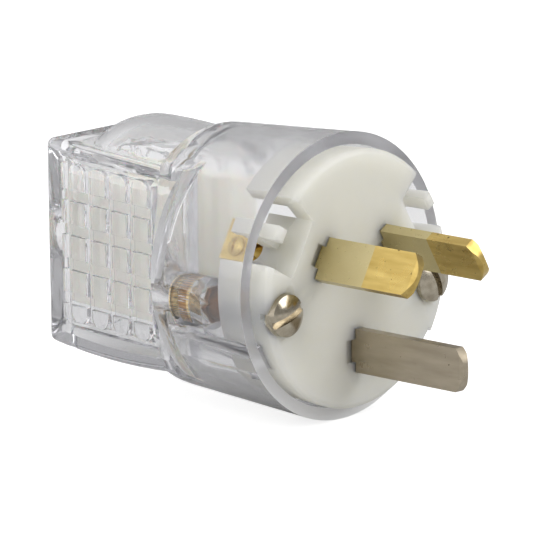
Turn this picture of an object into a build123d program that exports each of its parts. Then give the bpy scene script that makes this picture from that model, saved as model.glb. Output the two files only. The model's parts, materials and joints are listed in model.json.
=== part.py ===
from build123d import *
import os
from math import cos, radians, sin, sqrt, tan

# Rewireable flat-pin mains plug with a clear screw-on body and a moulded pin base.
# Millimetres. The pins point to -Y and the earth pin is at the bottom (-Z).
# The origin is the centre of the pin layout on the base's front face.

# Pins, in the standard flat-pin layout
pin_width = 6.35
pin_thickness = 1.63
live_pin_radius = 7.92
live_pin_angle = 30.0
earth_pin_radius = 10.31
live_pin_length = 17.8
earth_pin_length = 20.5
live_pin_tail = 13.0
earth_pin_tail = 8.6
tip_crown = 1.35
tip_bevel_length = 0.6
tip_bevel_depth = 0.4
sleeve_length = 8.9
sleeve_wall = 0.3
sleeve_root = 1.6

# Clear body: tapered barrel
rim_y = 3.35
rim_radius = 20.9
barrel_draft = 3.5
barrel_wall = 1.85
barrel_rear_y = 27.9
barrel_rear_round = 1.0
shoulder_y = 22.2

# Clear body: wedge-shaped grip behind the barrel
grip_front_half_width = 12.5
grip_side_angle = 7.75
grip_rear_y = 55.3
grip_wall = 1.8
grip_rear_wall = 2.4
grip_top_front_z = 14.3
grip_top_rear_z = 15.0
crown_bottom_y = 41.0
crown_bottom_z = 16.45
crown_bottom_radius = 140.0
hump_y = 39.75
hump_step = 0.3
hump_radius = 11.5
hump_front_radius = 120.0
hump_rear_radius = 14.0
hump_rear_length = 10.6
grip_edge_round = 1.2
grip_rear_round = 1.0
cord_bore_radius = 4.2
cord_bore_chamfer = 0.5

# Grip panels: a sunk field on both sides, with columns of raised pads
panel_depth = 0.7
panel_slope = 45.0
panel_length = 22.8
panel_height = 25.0
panel_corner = 0.8
panel_front_gap = 6.8
pad_width = 2.9
pad_column_height = 23.8
pad_column_count = 5
pad_column_pitch = 5.0
first_pad_gap = 3.5
cross_groove_width = 2.1
cross_groove_count = 4
cross_groove_pitch = 5.2
cross_groove_drop = 0.5

# Screw bosses, keys and the two body screws
screw_inset = 5.55
screw_z = -2.65
boss_front_y = 12.8
boss_radius = 3.6
knob_radius = 2.4
knob_length = 1.8
knob_round = 0.8
boss_pocket_radius = 2.9
boss_pocket_depth = 2.6
screw_radius = 1.5
screw_tip_y = 22.2
screw_hole_clearance = 0.2
screw_head_radius = 3.05
screw_head_height = 2.5
screw_head_side = 1.65
screw_seat_y = 1.0
screw_head_clearance = 0.2
screw_slot_width = 1.0
screw_slot_depth = 1.2
left_slot_angle = 20.0
right_slot_angle = 114.0
insert_radius = 2.5
insert_length = 6.0
insert_groove_depth = 0.45
insert_groove_width = 1.6
thread_clearance = 0.05
right_key_angle = 40.0
left_key_angle = 29.5
left_keyway_y = 3.0
key_width = 3.8
key_height = 1.2
key_clearance = 0.3

# White pin base
base_clearance = 0.4
base_rear_y = 10.8
base_front_round = 0.9
disc_thickness = 3.2
skirt_wall = 1.8
pillar_radius = 3.4
pillar_step = 0.25
window_floor = 13.1
window_low = 4.9
window_top_angle = 17.0
prong_width = 2.1
prong_depth = 1.8
prong_rear_y = 8.5
prong_web_y = 4.6
prong_web_length = 2.6
prong_round = 0.6
housing_rear_y = 8.6
notch_radius = 1.75
notch_y = 9.1
notch_clearance = 0.15
root_recess_depth = 0.8
root_recess_width = 3.4
root_recess_reach = 1.7
edge_slit_width = 1.1
edge_slit_depth = 1.9

# Brass terminals and their clamp screws
live_terminal_length = 5.6
live_terminal_outer = 12.9
live_terminal_low = 3.65
live_terminal_high = 2.2
live_clamp_offset = -1.7
live_clamp_y = 11.6
nose_outer = 12.3
sight_hole_y = 8.7
sight_hole_radius = 1.0
earth_terminal_length = 7.4
earth_terminal_width = 5.2
earth_terminal_inset = 5.9
earth_terminal_top = 8.6
earth_clamp_y = 7.0
tunnel_radius = 1.4
tunnel_depth = 2.2
clamp_radius = 1.1
clamp_reach = 0.9
clamp_head_radius = 1.4
clamp_head_height = 0.8
clamp_head_side = 0.25
clamp_slot_width = 0.4
clamp_slot_depth = 0.4
clamp_clearance = 0.05
access_clearance = 0.4

# Cord jaws that slide on the grip's tapered side walls
jaw_gap = 8.8
jaw_length = 24.5
jaw_height = 23.0
jaw_clearance = 0.15
jaw_tooth_count = 7
jaw_tooth_pitch = 3.0
jaw_tooth_width = 1.4
jaw_tooth_depth = 0.6

# Sizes that follow from the ones above
side_slope = tan(radians(grip_side_angle))
live_pin_outer = live_pin_radius + pin_thickness / 2
draft_slope = tan(radians(barrel_draft))
screw_x = rim_radius - screw_inset
earth_terminal_bottom = rim_radius - earth_terminal_inset
insert_front_y = boss_front_y + boss_pocket_depth
panel_front_y = shoulder_y + panel_front_gap
tool_reach = 3 * rim_radius
cut_overrun = 1.0


def barrel_radius(y):
    """Outer radius of the tapered barrel at depth y."""
    return rim_radius - (y - rim_y) * draft_slope


def grip_half_width(y):
    """Half the width between the grip's tapered sides at depth y."""
    return grip_front_half_width - (y - shoulder_y) * side_slope


def along_y(outline, front, rear):
    """Solid from an X-Z outline, between two depths."""
    return extrude(Plane.XZ.offset(-front) * outline, amount=front - rear)


def cone_profile(front, rear, inset):
    """Half outline of a tapered round solid that lies inset from the barrel's outer surface."""
    outline = Polyline(
        (0, front),
        (barrel_radius(front) - inset, front),
        (barrel_radius(rear) - inset, rear),
        (0, rear),
        close=True,
    )
    return make_face(outline)


def cone(front, rear, inset):
    """Tapered round solid between two depths."""
    return revolve(cone_profile(front, rear, inset), Axis.Y)


def wedge_prism(front, rear, inset):
    """Tall prism between the grip's tapered sides, moved in by inset."""
    front_half = grip_half_width(front) - inset
    rear_half = grip_half_width(rear) - inset
    plan = Polyline(
        (-front_half, front),
        (front_half, front),
        (rear_half, rear),
        (-rear_half, rear),
        close=True,
    )
    return extrude(make_face(plan), amount=tool_reach, both=True)


def shoulder_prism(shoulder, rear, inset):
    """Tall prism wider than the barrel ahead of a shoulder, and between the grip's sides behind it."""
    front_half = grip_half_width(shoulder) - inset
    rear_half = grip_half_width(rear) - inset
    plan = Polyline(
        (-tool_reach, 0),
        (tool_reach, 0),
        (tool_reach, shoulder),
        (front_half, shoulder),
        (rear_half, rear),
        (-rear_half, rear),
        (-front_half, shoulder),
        (-tool_reach, shoulder),
        close=True,
    )
    return extrude(make_face(plan), amount=tool_reach, both=True)


def crown_drop(distance, radius):
    """Fall of a crowned edge at a distance from its peak."""
    return radius - sqrt(radius**2 - distance**2)


def grip_top_z(y):
    """Height of the grip's flat top at depth y."""
    rise = (grip_top_rear_z - grip_top_front_z) / (grip_rear_y - shoulder_y)
    return grip_top_front_z + (y - shoulder_y) * rise


def grip_bottom_z(y):
    """Distance of the grip's crowned bottom below the axis at depth y."""
    return crown_bottom_z - crown_drop(y - crown_bottom_y, crown_bottom_radius)


def grip_block(front, rear, inset):
    """Wedge with a flat top and a crowned bottom, moved in by inset on those faces and the sides."""
    top = Line((front, grip_top_z(front) - inset), (rear, grip_top_z(rear) - inset))
    bottom = ThreePointArc(
        (rear, inset - grip_bottom_z(rear)),
        (crown_bottom_y, inset - crown_bottom_z),
        (front, inset - grip_bottom_z(front)),
    )
    outline = make_face([top, Line(top @ 1, bottom @ 0), bottom, Line(bottom @ 1, top @ 0)])
    side_view = extrude(Plane.YZ * outline, amount=tool_reach, both=True)
    return side_view & wedge_prism(front, rear, inset)


def hump_arc(end_y, radius, inset):
    """Edge of the hump's profile between its widest depth and another."""
    points = []
    for y in (hump_y, (hump_y + end_y) / 2, end_y):
        points.append((hump_radius - inset - crown_drop(y - hump_y, radius - inset), y))
    return ThreePointArc(*points)


def grip_hump(front, inset):
    """Round hump along the middle of the grip's top, a small step below the barrel and domed at the rear."""
    front_arc = hump_arc(front, hump_front_radius, inset)
    rear_y = hump_y + hump_rear_length
    rear_arc = hump_arc(rear_y, hump_rear_radius, inset)
    ends = [Line(front_arc @ 1, (0, front)), Line((0, front), (0, rear_y)), Line((0, rear_y), rear_arc @ 1)]
    profile = make_face([front_arc, rear_arc, *ends])
    axis_z = barrel_radius(barrel_rear_y) - hump_step - hump_radius
    turned = Pos(0, 0, axis_z) * revolve(profile, Axis.Y)
    return turned & wedge_prism(front, rear_y, inset + grip_edge_round)


def rounded_grip():
    """Outer form of the grip with its long edges and rear edges rounded."""
    block = grip_block(shoulder_y, grip_rear_y, 0)
    long_edges = block.edges().filter_by(lambda edge: abs(edge.tangent_at(0.5).Y) > 0.7)
    block = fillet(long_edges, grip_edge_round)
    rear_edges = block.faces().sort_by(Axis.Y)[-1].edges()
    return fillet(rear_edges, grip_rear_round) + grip_hump(shoulder_y, 0)


def barrel_form():
    """Outer form of the barrel, cut back to the grip's sides behind the shoulder."""
    profile = cone_profile(rim_y, barrel_rear_y, 0)
    rear_corner = profile.vertices().group_by(Axis.Y)[-1].sort_by(Axis.X)[-1]
    rounded = revolve(fillet(rear_corner, barrel_rear_round), Axis.Y)
    return rounded & shoulder_prism(shoulder_y, barrel_rear_y, 0)


def body_hollow():
    """Space inside the body: the bore for the base and the wedge-shaped cord space."""
    inner_shoulder_y = shoulder_y - barrel_wall
    inner_rear_y = barrel_rear_y - barrel_wall
    bore = cone(rim_y, inner_rear_y, barrel_wall) & shoulder_prism(inner_shoulder_y, inner_rear_y, grip_wall)
    cord_space = grip_block(inner_shoulder_y, grip_rear_y - grip_rear_wall, grip_wall)
    return bore + cord_space + grip_hump(inner_shoulder_y, grip_wall)


def panel_plane():
    """Plane of the grip's +X side face, its origin on the front edge of the panel's floor."""
    side = radians(grip_side_angle)
    return Plane(
        origin=(grip_half_width(panel_front_y), panel_front_y, 0),
        x_dir=(-sin(side), cos(side), 0),
        z_dir=(cos(side), sin(side), 0),
    )


def panel_field():
    """Sunk field of the grip's +X side, with sloping walls."""
    lip = panel_depth * tan(radians(panel_slope))
    mouth = RectangleRounded(panel_length + 2 * lip, panel_height + 2 * lip, panel_corner + lip)
    return panel_plane() * extrude(Pos(panel_length / 2, 0) * mouth, amount=-panel_depth, taper=panel_slope)


def panel_pads():
    """Columns of pads that stand in the +X field, flush with the side face."""
    column = SlotOverall(pad_column_height, pad_width, rotation=90)
    row_middle = first_pad_gap + (pad_column_count - 1) * pad_column_pitch / 2
    columns = Pos(row_middle, 0) * GridLocations(pad_column_pitch, 1, pad_column_count, 1) * column
    groove = Rectangle(tool_reach, cross_groove_width)
    rows = GridLocations(1, cross_groove_pitch, 1, cross_groove_count) * groove
    pads = Sketch() + columns - Pos(0, -cross_groove_drop) * (Sketch() + rows)
    inside = Pos(panel_length / 2, 0) * Rectangle(panel_length, panel_height)
    return panel_plane() * extrude(pads & inside, amount=-panel_depth - grip_wall / 2)


def screw_boss():
    """Boss for the +X body screw, with a closed knob behind the shoulder."""
    centre = Pos(screw_x, screw_z)
    post = along_y(centre * Circle(boss_radius), boss_front_y, shoulder_y)
    boss = post & cone(rim_y, shoulder_y, barrel_wall / 2)
    knob = along_y(centre * Circle(knob_radius), shoulder_y - barrel_wall, shoulder_y + knob_length)
    knob_end = knob.faces().sort_by(Axis.Y)[-1]
    return boss + fillet(knob_end.edges(), knob_round)


def boss_space():
    """Hollow of the +X boss: hexagonal mouth, threaded insert and room for the screw's tip."""
    centre = Pos(screw_x, screw_z)
    mouth = along_y(centre * RegularPolygon(boss_pocket_radius, 6), boss_front_y, insert_front_y)
    tip_outline = centre * Circle(screw_radius + screw_hole_clearance)
    tip_room = along_y(tip_outline, insert_front_y, screw_tip_y + screw_hole_clearance)
    return mouth + tip_room + insert_form()


def insert_form():
    """Turned outer form of the +X threaded insert, with a holding groove, before it is bored."""
    rear_y = insert_front_y + insert_length
    groove_front = (insert_front_y + rear_y - insert_groove_width) / 2
    groove_rear = groove_front + insert_groove_width
    centre = Pos(screw_x, screw_z)
    bush = along_y(centre * Circle(insert_radius), insert_front_y, rear_y)
    ring = Circle(insert_radius) - Circle(insert_radius - insert_groove_depth)
    return bush - along_y(centre * ring, groove_front, groove_rear)


def key_outline(angle, width, floor):
    """Outline of a key at an angle below +X, reaching outwards from a floor radius."""
    height = rim_radius - floor
    return Rot(0, 0, -angle) * Pos(floor + height / 2, 0) * Rectangle(height, width)


def body_key(angle):
    """Axial rib on the bore's +X side that keeps the base from turning."""
    floor = barrel_radius(rim_y) - barrel_wall - key_height
    rib = along_y(key_outline(angle, key_width, floor), rim_y, shoulder_y)
    return rib & cone(rim_y, shoulder_y, barrel_wall / 2)


def key_way(angle, front):
    """Way in the base's +X edge for a rib of the body, from a depth to the rear."""
    floor = barrel_radius(rim_y) - barrel_wall - key_height - key_clearance
    outline = key_outline(angle, key_width + 2 * key_clearance, floor)
    return along_y(outline, front, base_rear_y + cut_overrun)


def other_side(shape):
    """Mirror image of a +X piece, on the -X side."""
    return mirror(shape, about=Plane.YZ)


def both_sides(shape):
    """A +X feature together with its mirror image."""
    return shape + other_side(shape)


def make_body():
    """Clear one-piece body."""
    body = barrel_form() + rounded_grip() - body_hollow()
    body = body + both_sides(screw_boss())
    body = body + body_key(right_key_angle) + other_side(body_key(left_key_angle))
    body = body - both_sides(boss_space()) - both_sides(panel_field()) + both_sides(panel_pads())
    cord_bore = along_y(Circle(cord_bore_radius), grip_rear_y - 2 * grip_rear_wall, grip_rear_y)
    mouth_front = grip_rear_y - cord_bore_chamfer
    mouth = Polyline(
        (0, mouth_front),
        (cord_bore_radius, mouth_front),
        (cord_bore_radius + cord_bore_chamfer, grip_rear_y),
        (0, grip_rear_y),
        close=True,
    )
    return body - cord_bore - revolve(make_face(mouth), Axis.Y)


def radial_frame(angle):
    """Place a piece drawn on the +X radius at an angle above +X, seen from the front."""
    return Rot(0, -angle, 0)


def blade(length, tail):
    """Flat pin on the +X radius's plane, tip to -Y, with a crowned and bevelled tip."""
    edge = pin_width / 2
    corner_y = tip_crown - length
    outline = make_face(
        [
            Line((corner_y, -edge), (tail, -edge)),
            Line((tail, -edge), (tail, edge)),
            Line((tail, edge), (corner_y, edge)),
            ThreePointArc((corner_y, edge), (-length, 0), (corner_y, -edge)),
        ]
    )
    half = pin_thickness / 2
    bevel = Polyline(
        (-half, tail),
        (half, tail),
        (half, tip_bevel_length - length),
        (half - tip_bevel_depth, -length),
        (tip_bevel_depth - half, -length),
        (-half, tip_bevel_length - length),
        close=True,
    )
    flat = extrude(Plane.YZ * outline, amount=pin_thickness, both=True)
    return flat & extrude(make_face(bevel), amount=pin_width, both=True)


def sleeve_ring():
    """Insulating sleeve let into a live pin, flush with its faces."""
    outer = Rectangle(pin_thickness, pin_width)
    inner = Rectangle(pin_thickness - 2 * sleeve_wall, pin_width - 2 * sleeve_wall)
    return along_y(outer - inner, -sleeve_length, sleeve_root)


def live_place():
    """Place of the +X live pin."""
    return radial_frame(live_pin_angle) * Pos(live_pin_radius, 0, 0)


def earth_place():
    """Place of the earth pin."""
    return Pos(0, 0, -earth_pin_radius)


def root_recess():
    """Shallow step round the middle of a pin's root, drawn at the pin's own centre."""
    recess = Rectangle(pin_thickness + 2 * root_recess_reach, root_recess_width)
    return along_y(recess, -root_recess_depth, root_recess_depth)


def pin_slot():
    """Slot through the base that a pin fills."""
    return along_y(Rectangle(pin_thickness, pin_width), -cut_overrun, disc_thickness + cut_overrun)


def live_window():
    """Window in the base's edge outside the +X live pin."""
    rise = tan(radians(window_top_angle))
    outline = Polyline(
        (window_floor, -window_low),
        (tool_reach, -window_low),
        (tool_reach, tool_reach * rise),
        (window_floor, window_floor * rise),
        close=True,
    )
    turned = Rot(0, 0, live_pin_angle) * make_face(outline)
    return along_y(turned, -cut_overrun, base_rear_y + cut_overrun)


def radial_box(inner, outer, low, high, front, rear):
    """Block between two distances along the +X live pin's radius, two heights across it and two depths."""
    middle = Pos((inner + outer) / 2, (low + high) / 2)
    outline = Rot(0, 0, live_pin_angle) * middle * Rectangle(outer - inner, high - low)
    return along_y(outline, front, rear)


def live_prong(form):
    """Finger guard that stands in the +X window, on a web behind."""
    half = prong_width / 2
    prong_inner = barrel_radius(0) - barrel_wall - base_clearance - prong_depth
    bar = radial_box(prong_inner, rim_radius, -half, half, 0, prong_rear_y)
    bar = fillet(bar.faces().sort_by(Axis.Y)[0].edges(), prong_round) & form
    web_inner = window_floor - cut_overrun
    web_outer = prong_inner + cut_overrun
    web_rear_y = prong_web_y + prong_web_length
    return bar + radial_box(web_inner, web_outer, -half, half, prong_web_y, web_rear_y)


def live_notch(radius, outer):
    """Round post on the +X live terminal's clamp line, from the pin's outer face."""
    outwards = Plane(origin=(live_pin_outer, notch_y, live_clamp_offset), x_dir=(0, 1, 0), z_dir=(1, 0, 0))
    post = Cylinder(radius, outer - live_pin_outer, align=(Align.CENTER, Align.CENTER, Align.MIN))
    return radial_frame(live_pin_angle) * outwards.location * post


def live_housing():
    """Block on the base's rear that backs the +X live pin, notched for the terminal's nose."""
    top = window_floor * tan(radians(window_top_angle))
    block = radial_box(live_pin_outer, window_floor, -window_low, top, disc_thickness / 2, housing_rear_y)
    return block - live_notch(notch_radius, tool_reach)


def screw_way():
    """Seat, hole and edge slit of the +X body screw in the base."""
    centre = Pos(screw_x, screw_z)
    seat = along_y(centre * Circle(screw_head_radius + screw_head_clearance), -cut_overrun, screw_seat_y)
    hole_outline = centre * Circle(screw_radius + screw_hole_clearance)
    hole = along_y(hole_outline, -cut_overrun, boss_front_y + cut_overrun)
    slit = Pos(screw_x + rim_radius / 2, screw_z) * Rectangle(rim_radius, edge_slit_width)
    return seat + hole + along_y(slit, -cut_overrun, edge_slit_depth)


def earth_access():
    """Driver hole in the skirt below the earth terminal's clamp screw."""
    hole = Cylinder(
        clamp_head_radius + access_clearance,
        rim_radius,
        align=(Align.CENTER, Align.CENTER, Align.MAX),
    )
    return Pos(earth_clamp_x(), earth_clamp_y, -earth_terminal_bottom) * hole


def make_pin_base():
    """White moulding that carries the pins: disc, skirt, screw pillars, pin housings and finger guards."""
    inset = barrel_wall + base_clearance
    solid = cone(0, base_rear_y, inset)
    solid = fillet(solid.faces().sort_by(Axis.Y)[0].edges(), base_front_round)
    inner_radius = barrel_radius(base_rear_y) - inset - skirt_wall
    form = solid - along_y(Circle(inner_radius), disc_thickness, base_rear_y + cut_overrun)
    pillar = along_y(Pos(screw_x, screw_z) * Circle(pillar_radius), disc_thickness / 2, boss_front_y)
    form = form + both_sides(pillar & cone(0, boss_front_y, inset + pillar_step))
    form = form - key_way(right_key_angle, -cut_overrun) - other_side(key_way(left_key_angle, left_keyway_y))
    form = form - both_sides(live_window()) - both_sides(screw_way())
    form = form + both_sides(live_housing()) + both_sides(live_prong(solid))
    form = form - both_sides(live_place() * pin_slot()) - both_sides(live_place() * root_recess())
    return form - earth_place() * pin_slot() - earth_place() * root_recess() - earth_access()


def make_live_pin():
    """+X live pin, necked under its sleeve."""
    return live_place() * (blade(live_pin_length, live_pin_tail) - sleeve_ring())


def make_live_sleeve():
    """Sleeve of the +X live pin."""
    return live_place() * sleeve_ring()


def make_earth_pin():
    """Earth pin, longer than the others and bare."""
    return earth_place() * blade(earth_pin_length, earth_pin_tail)


def domed_head(radius, height, side):
    """Screw head on the Y axis with its underside at y = 0 and its dome towards -Y."""
    dome_height = height - side
    dome_radius = (radius**2 + dome_height**2) / (2 * dome_height)
    half_way = radius / 2
    profile = make_face(
        [
            Line((0, 0), (radius, 0)),
            Line((radius, 0), (radius, -side)),
            ThreePointArc(
                (radius, -side),
                (half_way, crown_drop(half_way, dome_radius) - height),
                (0, -height),
            ),
            Line((0, -height), (0, 0)),
        ]
    )
    return revolve(profile, Axis.Y)


def clamp_form():
    """Clamp screw with its domed head towards -Y and the head's underside at y = 0."""
    shank_length = tunnel_depth - tunnel_radius + clamp_reach
    shank = along_y(Circle(clamp_radius), 0, shank_length)
    head = domed_head(clamp_head_radius, clamp_head_height, clamp_head_side)
    slot = Rectangle(clamp_slot_width, 2 * clamp_head_radius)
    return shank + head - along_y(slot, -2 * clamp_head_height, clamp_slot_depth - clamp_head_height)


def live_clamp_place(y):
    """Place at depth y over the +X live terminal's wire tunnel, facing outwards from the plug's axis."""
    outwards = Plane(
        origin=(live_terminal_outer, y, live_clamp_offset),
        x_dir=(0, 1, 0),
        z_dir=(1, 0, 0),
    )
    return radial_frame(live_pin_angle) * outwards.location


def earth_clamp_x():
    """Place of the earth clamp screw and tunnel beside the earth pin."""
    return (pin_thickness + earth_terminal_width) / 2


def earth_clamp_place():
    """Place of the earth clamp screw, its head towards -Z."""
    downwards = Plane(
        origin=(earth_clamp_x(), earth_clamp_y, -earth_terminal_bottom),
        x_dir=(0, 1, 0),
        z_dir=(0, 0, -1),
    )
    return downwards.location


def tunnel_hole(place, radius):
    """Round hole from a terminal's outer face down to the axis of its wire tunnel."""
    return place * Cylinder(radius, tunnel_depth, align=(Align.CENTER, Align.CENTER, Align.MAX))


def make_live_terminal():
    """Brass block behind the +X live pin's housing, with a nose, a wire tunnel and a clamp screw hole."""
    rear_y = housing_rear_y + live_terminal_length
    block = radial_box(
        live_pin_outer, live_terminal_outer, -live_terminal_low, live_terminal_high, housing_rear_y, rear_y
    )
    block = block + live_notch(notch_radius - notch_clearance, nose_outer)
    tunnel = Pos(live_terminal_outer - tunnel_depth, live_clamp_offset) * Circle(tunnel_radius)
    block = block - along_y(Rot(0, 0, live_pin_angle) * tunnel, housing_rear_y, rear_y + cut_overrun)
    block = block - tunnel_hole(live_clamp_place(live_clamp_y), clamp_radius + clamp_clearance)
    return block - tunnel_hole(live_clamp_place(sight_hole_y), sight_hole_radius)


def make_earth_terminal():
    """Brass block beside the earth pin."""
    middle = Pos(earth_clamp_x(), -(earth_terminal_top + earth_terminal_bottom) / 2)
    section = middle * Rectangle(earth_terminal_width, earth_terminal_bottom - earth_terminal_top)
    tunnel = Pos(earth_clamp_x(), tunnel_depth - earth_terminal_bottom) * Circle(tunnel_radius)
    block = along_y(section - tunnel, disc_thickness, disc_thickness + earth_terminal_length)
    return block - tunnel_hole(earth_clamp_place(), clamp_radius + clamp_clearance)


def make_body_screw(slot_angle):
    """Slotted pan-head screw on the body screws' own axis, before it is placed."""
    head = domed_head(screw_head_radius, screw_head_height, screw_head_side)
    slot_outline = Rot(0, 0, slot_angle) * Rectangle(2 * screw_head_radius, screw_slot_width)
    slot = along_y(slot_outline, -2 * screw_head_height, screw_slot_depth - screw_head_height)
    shank = along_y(Circle(screw_radius), 0, screw_tip_y - screw_seat_y)
    return Pos(0, screw_seat_y, screw_z) * (head - slot + shank)


def make_insert():
    """Threaded brass insert moulded into the +X boss."""
    bore = along_y(
        Pos(screw_x, screw_z) * Circle(screw_radius + thread_clearance),
        insert_front_y,
        insert_front_y + insert_length,
    )
    return insert_form() - bore


def make_jaw():
    """Wedge jaw on the grip's +X side wall, toothed towards the cord."""
    rear_y = grip_rear_y - grip_rear_wall
    front_y = rear_y - jaw_length
    inner = jaw_gap / 2
    inset = grip_wall + jaw_clearance
    plan = Polyline(
        (inner, front_y),
        (grip_half_width(front_y) - inset, front_y),
        (grip_half_width(rear_y) - inset, rear_y),
        (inner, rear_y),
        close=True,
    )
    wedge = extrude(make_face(plan), amount=jaw_height / 2, both=True)
    first_y = rear_y - (jaw_length + (jaw_tooth_count - 1) * jaw_tooth_pitch) / 2
    for number in range(jaw_tooth_count):
        middle = first_y + number * jaw_tooth_pitch
        notch = Polyline(
            (inner, middle - jaw_tooth_width / 2),
            (inner + jaw_tooth_depth, middle),
            (inner, middle + jaw_tooth_width / 2),
            close=True,
        )
        wedge = wedge - extrude(make_face(notch), amount=jaw_height, both=True)
    return wedge


live_terminal = make_live_terminal()
live_clamp = live_clamp_place(live_clamp_y) * Rot(-90, 0, 0) * clamp_form()
insert = make_insert()
jaw = make_jaw()

nodes = {
    "body": make_body(),
    "pin_base": make_pin_base(),
    "active_pin": make_live_pin(),
    "neutral_pin": other_side(make_live_pin()),
    "earth_pin": make_earth_pin(),
    "active_pin_sleeve": make_live_sleeve(),
    "neutral_pin_sleeve": other_side(make_live_sleeve()),
    "active_terminal": live_terminal,
    "neutral_terminal": other_side(live_terminal),
    "earth_terminal": make_earth_terminal(),
    "active_clamp_screw": live_clamp,
    "neutral_clamp_screw": other_side(live_clamp),
    "earth_clamp_screw": earth_clamp_place() * Rot(-90, 0, 0) * clamp_form(),
    "right_body_screw": Pos(screw_x, 0, 0) * make_body_screw(right_slot_angle),
    "left_body_screw": Pos(-screw_x, 0, 0) * make_body_screw(left_slot_angle),
    "right_insert": insert,
    "left_insert": other_side(insert),
    "right_cord_jaw": jaw,
    "left_cord_jaw": other_side(jaw),
}

os.makedirs("parts", exist_ok=True)
for name, shape in nodes.items():
    export_step(shape, f"parts/{name}.step")
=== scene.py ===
import json
from math import cos, pi, radians, sin, tan

import bmesh
import bpy
from mathutils import Matrix, Vector


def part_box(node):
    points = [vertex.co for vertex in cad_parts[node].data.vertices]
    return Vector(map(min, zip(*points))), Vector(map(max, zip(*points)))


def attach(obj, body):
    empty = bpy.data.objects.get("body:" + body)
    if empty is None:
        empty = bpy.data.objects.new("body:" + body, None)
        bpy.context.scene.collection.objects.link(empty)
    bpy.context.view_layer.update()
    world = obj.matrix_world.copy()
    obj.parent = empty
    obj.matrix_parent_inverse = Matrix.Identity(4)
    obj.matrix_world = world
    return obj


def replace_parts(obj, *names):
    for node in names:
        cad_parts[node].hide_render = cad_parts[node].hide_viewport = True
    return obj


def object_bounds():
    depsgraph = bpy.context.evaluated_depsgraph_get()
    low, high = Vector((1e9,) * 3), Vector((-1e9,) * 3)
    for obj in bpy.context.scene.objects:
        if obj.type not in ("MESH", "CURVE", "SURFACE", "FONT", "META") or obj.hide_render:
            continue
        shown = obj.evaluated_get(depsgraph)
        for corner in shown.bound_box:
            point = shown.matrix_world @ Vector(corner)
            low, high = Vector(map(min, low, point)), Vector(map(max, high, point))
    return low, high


# Clear rewireable mains plug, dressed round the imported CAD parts.
# Metres, in the shared frame: the pins point to -Y and the earth pin is at the bottom (-Z).
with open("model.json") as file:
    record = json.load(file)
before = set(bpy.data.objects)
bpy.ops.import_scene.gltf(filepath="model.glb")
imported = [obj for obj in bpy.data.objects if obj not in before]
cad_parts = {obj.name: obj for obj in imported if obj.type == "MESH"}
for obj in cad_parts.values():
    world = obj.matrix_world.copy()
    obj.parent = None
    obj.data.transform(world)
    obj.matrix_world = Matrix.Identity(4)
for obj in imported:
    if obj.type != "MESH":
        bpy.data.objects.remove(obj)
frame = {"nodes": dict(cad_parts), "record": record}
cad_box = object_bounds()
nodes = frame["nodes"]
scene = bpy.context.scene
scene.view_settings.view_transform = "Standard"

# Deep light paths, so that light is not lost inside the clear walls
scene.cycles.max_bounces = 32
scene.cycles.transmission_bounces = 32
scene.cycles.glossy_bounces = 12


# Building blocks of the materials. Most of a noise's values lie between these two.
noise_low = 0.3
noise_high = 0.7


def new_material(name):
    """Material whose node tree holds only a shader and an output."""
    material = bpy.data.materials.new(name)
    material.use_nodes = True
    tree = material.node_tree
    tree.nodes.clear()
    shader = tree.nodes.new("ShaderNodeBsdfPrincipled")
    output = tree.nodes.new("ShaderNodeOutputMaterial")
    tree.links.new(shader.outputs["BSDF"], output.inputs["Surface"])
    return material, tree, shader


def noise(tree, scale, detail, stretch=(1.0, 1.0, 1.0)):
    """Noise over the object's own coordinates in metres."""
    place = tree.nodes.new("ShaderNodeTexCoord")
    mapping = tree.nodes.new("ShaderNodeMapping")
    mapping.inputs["Scale"].default_value = stretch
    texture = tree.nodes.new("ShaderNodeTexNoise")
    texture.inputs["Scale"].default_value = scale
    texture.inputs["Detail"].default_value = detail
    tree.links.new(place.outputs["Object"], mapping.inputs["Vector"])
    tree.links.new(mapping.outputs["Vector"], texture.inputs["Vector"])
    return texture.outputs["Fac"]


def ramp(tree, value, stops):
    """Colour from a value, by (place, colour) stops."""
    node = tree.nodes.new("ShaderNodeValToRGB")
    elements = node.color_ramp.elements
    for number in (0, -1):
        place, colour = stops[number]
        elements[number].position = place
        elements[number].color = (*colour, 1.0)
    for place, colour in stops[1:-1]:
        elements.new(place).color = (*colour, 1.0)
    tree.links.new(value, node.inputs["Fac"])
    return node.outputs["Color"]


def clouded(tree, value, dark, light):
    """Colour between two others, by a noise."""
    return ramp(tree, value, [(noise_low, dark), (noise_high, light)])


def spread(tree, value, low, high, start=noise_low, end=noise_high):
    """A value between start and end, spread between two others."""
    node = tree.nodes.new("ShaderNodeMapRange")
    node.inputs["From Min"].default_value = start
    node.inputs["From Max"].default_value = end
    node.inputs["To Min"].default_value = low
    node.inputs["To Max"].default_value = high
    tree.links.new(value, node.inputs["Value"])
    return node.outputs["Result"]


def maths(tree, operation, first, second):
    """Result of an operation on two values, each a socket or a number."""
    node = tree.nodes.new("ShaderNodeMath")
    node.operation = operation
    for socket, value in zip(node.inputs, (first, second)):
        if isinstance(value, float):
            socket.default_value = value
        else:
            tree.links.new(value, socket)
    return node.outputs[0]


def place_along(tree, axis):
    """Coordinate along one axis of the shared frame, in metres."""
    place = tree.nodes.new("ShaderNodeTexCoord")
    split = tree.nodes.new("ShaderNodeSeparateXYZ")
    tree.links.new(place.outputs["Object"], split.inputs[0])
    return split.outputs[axis]


def bump(tree, shader, height, distance):
    """Bump on the shader from a height."""
    node = tree.nodes.new("ShaderNodeBump")
    node.inputs["Distance"].default_value = distance
    tree.links.new(height, node.inputs["Height"])
    tree.links.new(node.outputs["Normal"], shader.inputs["Normal"])


def linear(*levels):
    """Linear colour from display levels of 11 to 255, by the standard display curve."""
    return tuple(((level / 255 + 0.055) / 1.055) ** 2.4 for level in levels)


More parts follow.
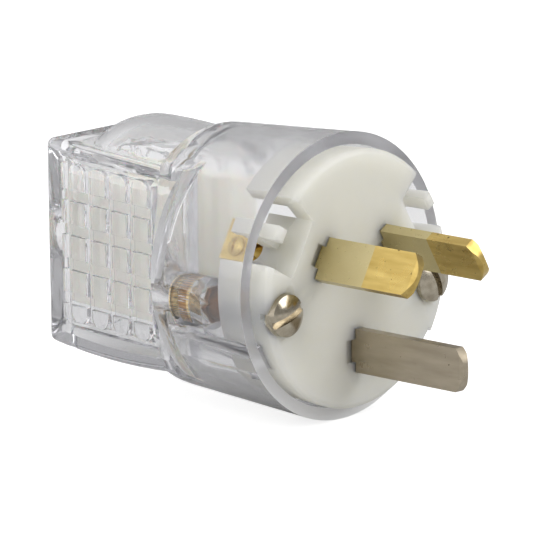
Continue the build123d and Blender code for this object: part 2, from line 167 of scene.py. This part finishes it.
# Materials
def clear_plastic(name):
    """Clear moulded plastic that greys with depth: polished grip, softer barrel and satin rim face."""
    material, tree, shader = new_material(name)
    flow = noise(tree, scale=90.0, detail=2.0, stretch=(1.0, 0.4, 1.0))
    tint = clouded(tree, flow, linear(251, 251, 252), linear(253, 253, 254))
    tree.links.new(tint, shader.inputs["Base Color"])
    bump(tree, shader, flow, distance=0.00001)
    shader.inputs["IOR"].default_value = 1.56

    # Satin is 1 on the rim face and 0 behind it
    satin_roughness = 0.3
    along = place_along(tree, "Y")
    rim_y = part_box("body")[0][1]
    satin = spread(tree, along, low=1.0, high=0.0, start=rim_y + 0.00005, end=rim_y + 0.0002)
    satin_rough = maths(tree, "MULTIPLY", satin, satin_roughness)
    barrel_rough = spread(tree, along, low=0.055, high=0.0, start=0.019, end=0.0225)
    form_rough = maths(tree, "MAXIMUM", satin_rough, barrel_rough)
    fine_rough = spread(tree, noise(tree, scale=500.0, detail=2.0), low=0.02, high=0.05)
    tree.links.new(maths(tree, "ADD", fine_rough, form_rough), shader.inputs["Roughness"])

    # Painted light: the rim face turns milky towards the bottom so that it reads lighter there, and a faint
    # veil lies on the rest
    faint_veil = 0.03
    painted_light_haze = spread(tree, place_along(tree, "Z"), low=0.9, high=0.05, start=-0.02, end=-0.002)
    veil = maths(tree, "MAXIMUM", maths(tree, "MULTIPLY", satin, painted_light_haze), faint_veil)
    tree.links.new(maths(tree, "SUBTRACT", 1.0, veil), shader.inputs["Transmission Weight"])

    depth = tree.nodes.new("ShaderNodeVolumeAbsorption")
    depth.inputs["Color"].default_value = (0.6, 0.6, 0.64, 1.0)
    depth.inputs["Density"].default_value = 45.0
    output = tree.nodes["Material Output"]
    tree.links.new(depth.outputs["Volume"], output.inputs["Volume"])
    return material


def moulded(name, dark, light, rough):
    """Opaque moulded plastic with cloudy colour and a fine grain."""
    material, tree, shader = new_material(name)
    cloud = noise(tree, scale=60.0, detail=4.0)
    tree.links.new(clouded(tree, cloud, dark, light), shader.inputs["Base Color"])
    fine = noise(tree, scale=2500.0, detail=3.0)
    fine_rough = spread(tree, fine, low=rough - 0.06, high=rough + 0.06)
    tree.links.new(fine_rough, shader.inputs["Roughness"])
    bump(tree, shader, fine, distance=0.000004)
    return material, shader


def drawn_metal(name, dark, light, rough, grain, stretch):
    """Drawn strip or turned metal with streaks along one direction and a few dark specks."""
    material, tree, shader = new_material(name)
    shader.inputs["Metallic"].default_value = 1.0
    streak = noise(tree, scale=900.0, detail=4.0, stretch=stretch)
    bump(tree, shader, streak, distance=grain)
    specks = spread(tree, noise(tree, scale=1100.0, detail=2.0), low=0.0, high=1.0, start=0.7, end=0.76)
    speck_shade = 0.35
    speck_colour = [speck_shade * channel for channel in dark]
    speckled = tree.nodes.new("ShaderNodeMix")
    speckled.data_type = "RGBA"
    speckled.inputs["B"].default_value = (*speck_colour, 1.0)
    tree.links.new(specks, speckled.inputs["Factor"])
    tree.links.new(clouded(tree, streak, dark, light), speckled.inputs["A"])
    tree.links.new(speckled.outputs["Result"], shader.inputs["Base Color"])
    wear = spread(tree, noise(tree, scale=400.0, detail=3.0), low=rough - 0.08, high=rough + 0.1)
    tree.links.new(wear, shader.inputs["Roughness"])
    return material


def knurled_brass(name, front_y, rear_y):
    """Brass of the threaded inserts: bright collars with brown painted shade on the knurled band between
    them and on one thin ring.
    """
    material, tree, shader = new_material(name)
    shader.inputs["Metallic"].default_value = 1.0
    along = spread(tree, place_along(tree, "Y"), low=0.0, high=1.0, start=front_y, end=rear_y)
    # Painted shade: the brown bands darken the knurled band and one thin ring of the brass
    gold = linear(252, 224, 164)
    knurl_painted_shade = linear(196, 146, 88)
    bands = [(0.0, gold), (0.08, gold), (0.1, knurl_painted_shade), (0.34, knurl_painted_shade), (0.37, gold)]
    bands += [(0.58, gold), (0.6, knurl_painted_shade), (0.62, gold)]
    tree.links.new(ramp(tree, along, bands), shader.inputs["Base Color"])
    wear = spread(tree, noise(tree, scale=900.0, detail=3.0), low=0.22, high=0.42)
    tree.links.new(wear, shader.inputs["Roughness"])
    place = tree.nodes.new("ShaderNodeTexCoord")
    ridges = tree.nodes.new("ShaderNodeTexWave")
    ridges.bands_direction = "Z"
    ridges.inputs["Scale"].default_value = 550.0
    ridges.inputs["Distortion"].default_value = 0.4
    tree.links.new(place.outputs["Object"], ridges.inputs["Vector"])
    bump(tree, shader, ridges.outputs["Fac"], distance=0.00006)
    return material


clear = clear_plastic("clear_plastic")

white, white_shader = moulded("white_plastic", linear(214, 212, 200), linear(221, 219, 208), rough=0.42)
white_shader.inputs["Subsurface Weight"].default_value = 1.0
white_shader.inputs["Subsurface Radius"].default_value = (1.0, 0.95, 0.8)
white_shader.inputs["Subsurface Scale"].default_value = 0.012

jaw, jaw_shader = moulded("jaw_plastic", linear(240, 238, 228), linear(245, 243, 234), rough=0.5)
jaw_shader.inputs["Subsurface Weight"].default_value = 0.3
jaw_shader.inputs["Subsurface Scale"].default_value = 0.001

sleeve, sleeve_shader = moulded("sleeve_plastic", linear(193, 178, 130), linear(206, 193, 146), rough=0.33)
sleeve_shader.inputs["Metallic"].default_value = 0.8

lengthwise = (1.0, 0.15, 1.0)
all_ways = (1.0, 1.0, 1.0)
brass = drawn_metal(
    "brass",
    dark=linear(188, 160, 90),
    light=linear(214, 188, 116),
    rough=0.3,
    grain=0.000006,
    stretch=lengthwise,
)
nickel = drawn_metal(
    "nickel",
    dark=linear(168, 157, 138),
    light=linear(185, 174, 155),
    rough=0.34,
    grain=0.000005,
    stretch=lengthwise,
)
steel = drawn_metal(
    "steel",
    dark=linear(162, 152, 134),
    light=linear(194, 186, 169),
    rough=0.2,
    grain=0.000005,
    stretch=all_ways,
)
# Dark brown brass of the collars: partly the captive nuts' own colour, partly painted shade of the boss
# pockets they sit in
collar = drawn_metal(
    "brass_with_painted_pocket_shade",
    dark=linear(98, 60, 22),
    light=linear(120, 78, 34),
    rough=0.45,
    grain=0.000005,
    stretch=all_ways,
)
insert_low, insert_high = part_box("left_insert")
insert = knurled_brass("knurled_brass", insert_low[1], insert_high[1])

by_slot = {
    "clear_plastic": clear,
    "white_plastic": white,
    "sleeve_plastic": sleeve,
    "brass": brass,
    "nickel": nickel,
    "steel": steel,
}
by_node = {"left_cord_jaw": jaw, "right_cord_jaw": jaw, "left_insert": insert, "right_insert": insert}
for row in frame["record"]["subparts"]:
    mesh = nodes[row["node"]].data
    mesh.materials.clear()
    mesh.materials.append(by_node.get(row["node"], by_slot[row["material_slot"]]))

# Pieces that dress the CAD parts
sides = (("right", 1.0), ("left", -1.0))
screw_x = 0.01535
screw_z = -0.00265
turned_steps = 48
sharp_angle = radians(30)
weld_distance = 1e-7
rearwards = (0.0, 1.0, 0.0)
upwards = (0.0, 0.0, 1.0)
downwards = (0.0, 0.0, -1.0)


def add_piece(name, mesh, material):
    """New object that rides on the plug's body."""
    piece = bpy.data.objects.new(name, mesh)
    scene.collection.objects.link(piece)
    mesh.materials.clear()
    mesh.materials.append(material)
    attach(piece, "root")
    return piece


def evaluated_mesh(piece):
    """Mesh of an object with its modifiers applied."""
    return bpy.data.meshes.new_from_object(piece.evaluated_get(bpy.context.evaluated_depsgraph_get()))


def evened(mesh):
    """Mesh with sharp edges kept and the shading of its flat faces made even."""
    mesh.shade_smooth()
    mesh.set_sharp_from_angle(angle=sharp_angle)
    piece = bpy.data.objects.new("evening", mesh)
    scene.collection.objects.link(piece)
    piece.modifiers.new("even", "WEIGHTED_NORMAL").keep_sharp = True
    even = evaluated_mesh(piece)
    bpy.data.objects.remove(piece)
    return even


def welded(node):
    """Mesh of a CAD part as one closed skin."""
    bm = bmesh.new()
    bm.from_mesh(nodes[node].data)
    bmesh.ops.remove_doubles(bm, verts=bm.verts[:], dist=weld_distance)
    return bm


def to_mesh(bm, name):
    """Mesh made of the skin, which is then let go."""
    mesh = bpy.data.meshes.new(name)
    bm.to_mesh(mesh)
    bm.free()
    return mesh


def trimmed(node, *planes):
    """Mesh of a CAD part without what lies beyond each plane, given as a point and its outward direction."""
    bm = welded(node)
    for point, outwards in planes:
        cut = bmesh.ops.bisect_plane(
            bm,
            geom=bm.verts[:] + bm.edges[:] + bm.faces[:],
            plane_co=point,
            plane_no=outwards,
            clear_outer=True,
        )
        rims = [item for item in cut["geom_cut"] if isinstance(item, bmesh.types.BMEdge)]
        bmesh.ops.triangle_fill(bm, edges=rims, use_beauty=True, normal=outwards)
    return to_mesh(bm, node)


def united(mesh, tools):
    """One mesh of the union of a mesh with others."""
    piece = bpy.data.objects.new("union", mesh)
    scene.collection.objects.link(piece)
    spent = [piece]
    for tool_mesh in tools:
        tool = bpy.data.objects.new("tool", tool_mesh)
        scene.collection.objects.link(tool)
        join = piece.modifiers.new("join", "BOOLEAN")
        join.operation = "UNION"
        join.solver = "MANIFOLD"
        join.object = tool
        spent.append(tool)
    whole = evaluated_mesh(piece)
    for item in spent:
        bpy.data.objects.remove(item)
    return whole


def hex_radius(angle, radius):
    """Distance from a hexagon's centre to its edge at an angle, for a radius to its corners."""
    half_side = radians(30)
    return radius * cos(half_side) / cos(angle % (2 * half_side) - half_side)


def turned(name, side, rings):
    """Ring-shaped mesh round a body screw's axis, from (y, radius, hexagonal or not) rows of its outline."""
    bm = bmesh.new()
    rows = []
    for y, radius, is_hex in rings:
        row = []
        for step in range(turned_steps):
            angle = 2 * pi * step / turned_steps
            reach = hex_radius(angle, radius) if is_hex else radius
            row.append(bm.verts.new((side * screw_x + reach * cos(angle), y, screw_z + reach * sin(angle))))
        rows.append(row)
    for row, following in zip(rows, rows[1:] + rows[:1]):
        for step in range(turned_steps):
            after = (step + 1) % turned_steps
            bm.faces.new((row[step], row[after], following[after], following[step]))
    bmesh.ops.recalc_face_normals(bm, faces=bm.faces[:])
    return to_mesh(bm, name)


# Base, inserts and jaws cut shorter, so that the shanks, the clear knobs and the clear grip show round them
base_trim_y = 0.0093
insert_trim_y = 0.0195
jaw_top_z = 0.0102
jaw_bottom_z = -0.0092
for side_name, side in sides:
    node = f"{side_name}_insert"
    mesh = trimmed(node, ((0.0, insert_trim_y, 0.0), rearwards))
    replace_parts(add_piece(f"{node}_trimmed", evened(mesh), insert), node)
    node = f"{side_name}_cord_jaw"
    mesh = trimmed(node, ((0.0, 0.0, jaw_top_z), upwards), ((0.0, 0.0, jaw_bottom_z), downwards))
    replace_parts(add_piece(f"{node}_trimmed", evened(mesh), jaw), node)

base_mesh = trimmed("pin_base", ((0.0, base_trim_y, 0.0), rearwards))
base_piece = add_piece("pin_base_trimmed", evened(base_mesh), white)
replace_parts(base_piece, "pin_base")

# Wider pads for the grip panels: castellated bars in the panel's own plane, u along it, v up, w outwards.
# The panel lies where it does on the CAD body.
shoulder_y = 0.0222
grip_front_half_width = 0.0125
panel_front_gap = 0.0068
panel_side_angle = radians(7.75)
panel_front_y = shoulder_y + panel_front_gap
panel_half_width = grip_front_half_width - panel_front_gap * tan(panel_side_angle)
panel_end = 0.0228
column_start = 0.00203
column_width = 0.00395
column_pitch = 0.005
column_count = 5
column_half_height = 0.01192
column_round = 0.0014
column_round_share = 0.45
pad_top = 0.00003
pad_root = -0.001
pad_bevel = 0.00027
groove_floor = -0.00058
groove_below = 0.00103
groove_above = 0.0006
groove_pitch = 0.0052
groove_count = 4
lowest_groove = -0.0083
closeness = 1e-6


def is_end_edge(edge):
    """Whether an edge runs outwards at an end of a bar."""
    first, second = (vert.co for vert in edge.verts)
    at_end = all(abs(abs(place.y) - column_half_height) < closeness for place in (first, second))
    return at_end and abs(first.z - second.z) > closeness


def grip_column(start, end):
    """One column of pads on a low rib, with round ends."""
    outline = [(-column_half_height, pad_root), (-column_half_height, pad_top)]
    for number in range(groove_count):
        groove = lowest_groove + number * groove_pitch
        outline += [(groove - groove_below, pad_top), (groove - groove_below, groove_floor)]
        outline += [(groove + groove_above, groove_floor), (groove + groove_above, pad_top)]
    outline += [(column_half_height, pad_top), (column_half_height, pad_root)]
    bm = bmesh.new()
    face = bm.faces.new([bm.verts.new((start, v, w)) for v, w in outline])
    grown = bmesh.ops.extrude_face_region(bm, geom=[face])["geom"]
    moved = [item for item in grown if isinstance(item, bmesh.types.BMVert)]
    bmesh.ops.translate(bm, verts=moved, vec=(end - start, 0.0, 0.0))
    bmesh.ops.recalc_face_normals(bm, faces=bm.faces[:])
    corners = [edge for edge in bm.edges if is_end_edge(edge)]
    corner_round = min(column_round, column_round_share * (end - start))
    bmesh.ops.bevel(bm, geom=corners, offset=corner_round, segments=6, affect="EDGES", profile=0.5)
    shown = [edge for edge in bm.edges if min(vert.co.z for vert in edge.verts) > pad_root / 2]
    sharp = [edge for edge in shown if edge.calc_face_angle(0.0) > sharp_angle]
    bmesh.ops.bevel(bm, geom=sharp, offset=pad_bevel, segments=2, affect="EDGES", profile=0.5)
    return bm


def grip_columns(side):
    """All columns of one side panel, placed in the shared frame."""
    slope_sin = sin(panel_side_angle)
    slope_cos = cos(panel_side_angle)
    panel = Matrix(
        (
            (-slope_sin, 0.0, slope_cos, panel_half_width),
            (slope_cos, 0.0, slope_sin, panel_front_y),
            (0.0, 1.0, 0.0, 0.0),
            (0.0, 0.0, 0.0, 1.0),
        )
    )
    mesh = bpy.data.meshes.new("grip_columns")
    whole = bmesh.new()
    for number in range(column_count):
        start = column_start + number * column_pitch
        column = grip_column(start, min(start + column_width, panel_end))
        column.to_mesh(mesh)
        column.free()
        whole.from_mesh(mesh)
    whole.transform(Matrix.Diagonal((side, 1.0, 1.0, 1.0)) @ panel)
    # Mirroring turns the faces inside out
    if side < 0:
        bmesh.ops.reverse_faces(whole, faces=whole.faces[:])
    whole.to_mesh(mesh)
    whole.free()
    return mesh


# Clear filling of the body behind the shortened inserts
filling_gap = 0.00002
filling_front_y = insert_trim_y + filling_gap
filling_rear_y = 0.02145
filling_bore = 0.00172
filling_radius = 0.00255
filling_rings = (
    (filling_front_y, filling_bore, False),
    (filling_front_y, filling_radius, False),
    (filling_rear_y, filling_radius, False),
    (filling_rear_y, filling_bore, False),
)
body_tools = [grip_columns(side) for _, side in sides]
body_tools += [turned("boss_filling", side, filling_rings) for _, side in sides]
body_mesh = united(to_mesh(welded("body"), "padded_body"), body_tools)
body_piece = add_piece("padded_body", evened(body_mesh), clear)
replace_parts(body_piece, "body")
# Lamplight goes straight through the clear walls to the parts inside
body_piece.visible_shadow = False

# Hexagonal collars before the mouths of the screw bosses, each with a round nose to the base; their dark
# brown is partly the nuts' own colour and partly painted shade of the boss pockets
collar_gap = 0.00005
collar_nose_y = base_trim_y + collar_gap
collar_front_y = 0.0121
collar_rear_y = 0.01275
collar_nose_radius = 0.0021
collar_radius = 0.00284
collar_bore = 0.00156
collar_chamfer = 0.0002
collar_rings = (
    (collar_nose_y, collar_bore, False),
    (collar_nose_y, collar_nose_radius, False),
    (collar_front_y, collar_nose_radius, False),
    (collar_front_y, collar_radius - collar_chamfer, True),
    (collar_front_y + collar_chamfer, collar_radius, True),
    (collar_rear_y, collar_radius, True),
    (collar_rear_y, collar_bore, False),
)
for side_name, side in sides:
    mesh = evened(turned("boss_collar", side, collar_rings))
    add_piece(f"{side_name}_boss_collar", mesh, collar)


# Stage: white floor and world, soft lamps
def shown_white(tree, camera_amount, glass_amount):
    """Amount of plain white for the rays that show the stage itself: camera rays and rays through glass."""
    path = tree.nodes.new("ShaderNodeLightPath")
    by_camera = maths(tree, "MULTIPLY", path.outputs["Is Camera Ray"], camera_amount)
    by_glass = maths(tree, "MULTIPLY", path.outputs["Is Transmission Ray"], glass_amount)
    return maths(tree, "MAXIMUM", by_camera, by_glass)


def paper(name):
    """Pale paper that shows white to the camera, and through glass a painted shadow: less white close to the
    plug.
    """
    material, tree, shader = new_material(name)
    shader.inputs["Base Color"].default_value = (0.65, 0.65, 0.65, 1.0)
    shader.inputs["Roughness"].default_value = 0.9
    shader.inputs["Emission Color"].default_value = (1.0, 1.0, 1.0, 1.0)
    place = tree.nodes.new("ShaderNodeTexCoord")
    distance = tree.nodes.new("ShaderNodeVectorMath")
    distance.operation = "LENGTH"
    tree.links.new(place.outputs["Object"], distance.inputs[0])
    # Painted shadow: through glass, the paper's glow fades out within 4 to 12 cm of the plug
    glass_amount = spread(tree, distance.outputs["Value"], low=0.0, high=0.3, start=0.04, end=0.12)
    glow = shown_white(tree, camera_amount=0.7, glass_amount=glass_amount)
    tree.links.new(glow, shader.inputs["Emission Strength"])
    return material


def studio_world(name, bright_way, grey_stops):
    """World that is brightest in one direction, plain white to the camera and paler through glass."""
    world = bpy.data.worlds.new(name)
    world.use_nodes = True
    tree = world.node_tree
    tree.nodes.clear()
    place = tree.nodes.new("ShaderNodeTexCoord")
    towards = tree.nodes.new("ShaderNodeVectorMath")
    towards.operation = "DOT_PRODUCT"
    towards.inputs[1].default_value = bright_way
    tree.links.new(place.outputs["Generated"], towards.inputs[0])
    facing = spread(tree, towards.outputs["Value"], low=0.0, high=1.0, start=-1.0, end=1.0)
    studio = tree.nodes.new("ShaderNodeBackground")
    greys = ramp(tree, facing, [(stop, (grey, grey, grey)) for stop, grey in grey_stops])
    tree.links.new(greys, studio.inputs["Color"])
    shown = tree.nodes.new("ShaderNodeBackground")
    shown.inputs["Color"].default_value = (1.0, 1.0, 1.0, 1.0)
    mix = tree.nodes.new("ShaderNodeMixShader")
    white_amount = shown_white(tree, camera_amount=1.0, glass_amount=0.2)
    tree.links.new(white_amount, mix.inputs["Fac"])
    tree.links.new(studio.outputs[0], mix.inputs[1])
    tree.links.new(shown.outputs[0], mix.inputs[2])
    output = tree.nodes.new("ShaderNodeOutputWorld")
    tree.links.new(mix.outputs[0], output.inputs["Surface"])
    return world


def soft_lamp(name, location, aim, size, power):
    """Square softbox that faces a point."""
    data = bpy.data.lights.new(name, "AREA")
    data.shape = "SQUARE"
    data.size = size
    data.energy = power
    lamp = bpy.data.objects.new(name, data)
    scene.collection.objects.link(lamp)
    lamp.location = location
    lamp.rotation_euler = (lamp.location - Vector(aim)).to_track_quat("Z", "Y").to_euler()


bpy.ops.mesh.primitive_plane_add(size=1.6, location=(0.0, 0.0, cad_box[0][2]))
floor = bpy.context.object
floor.name = "floor"
floor.data.materials.append(paper("floor_paper"))

scene.world = studio_world(
    "studio",
    bright_way=(-0.8, 0.5, 0.33),
    grey_stops=((0.0, 0.3), (0.5, 0.42), (0.75, 0.85), (0.88, 1.1), (1.0, 1.25)),
)
soft_lamp("key", location=(-0.18, -0.08, 0.16), aim=(0.0, 0.015, 0.0), size=0.14, power=0.06)
soft_lamp("front", location=(0.3, -0.55, 0.4), aim=(0.0, 0.0, 0.0), size=0.5, power=2.8)

# Camera at the photograph's place
camera_data = bpy.data.cameras.new("camera")
camera_data.sensor_width = 36.0
camera_data.lens = 417.69
camera_data.clip_end = 10.0
camera = bpy.data.objects.new("camera", camera_data)
scene.collection.objects.link(camera)
camera.location = (-0.632255, -0.586324, 0.188376)
camera.rotation_euler = (1.357946, 0.013015, -0.810655)
scene.camera = camera
